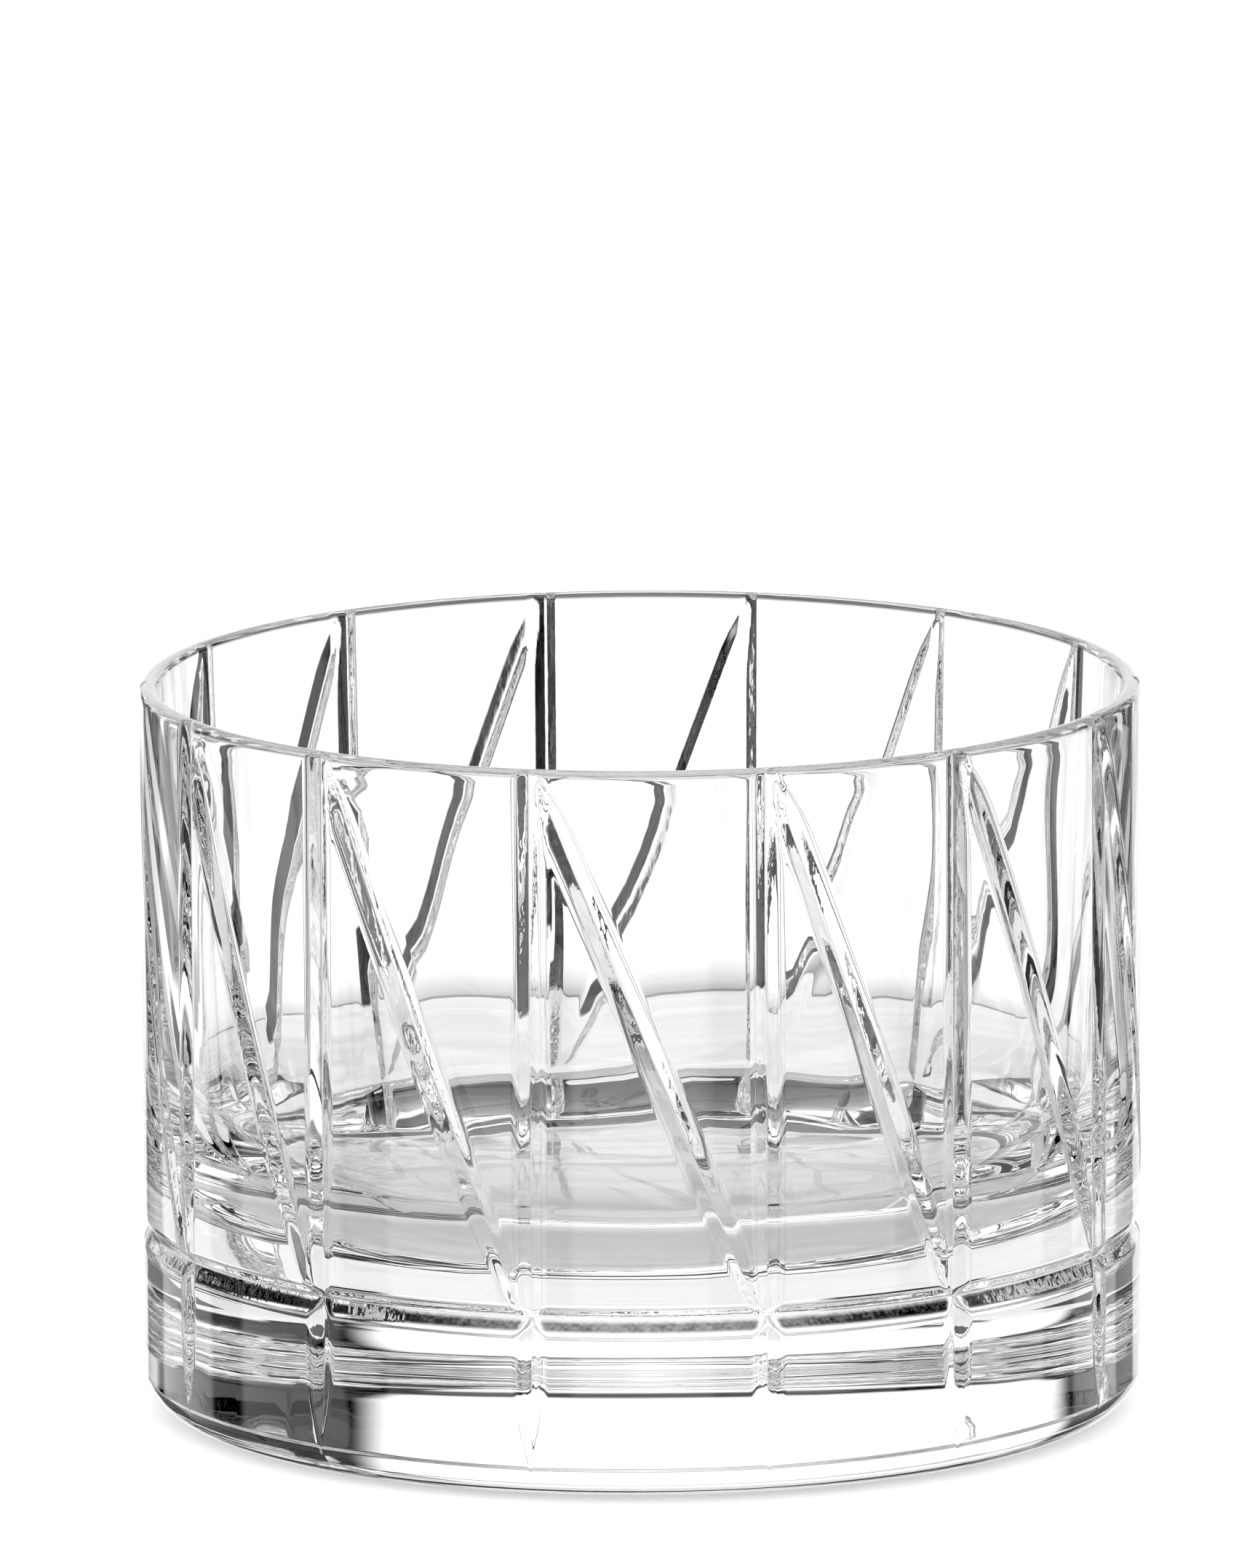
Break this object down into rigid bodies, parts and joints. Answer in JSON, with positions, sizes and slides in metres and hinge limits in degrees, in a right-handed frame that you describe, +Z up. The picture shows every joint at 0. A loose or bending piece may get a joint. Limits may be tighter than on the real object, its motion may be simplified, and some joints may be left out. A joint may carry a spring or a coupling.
{
  "type": "whisky tumbler",
  "caption": "Low, wide cut-crystal whisky tumbler with a heavy base, upright and leaning V cuts in panels, a ring groove above the base and a thin rounded lip.",
  "frame": {"origin": "centre of the flat underside that the tumbler stands on", "axes": "+Z up along the tumbler's axis, -Y towards the viewer of the front panel, +X to that viewer's right"},
  "size_m": [0.098, 0.098, 0.072],
  "materials": {
    "clear_crystal": "polished"
  },
  "bodies": {
    "root": {"glass_body": "clear_crystal"}
  },
  "joints": []
}
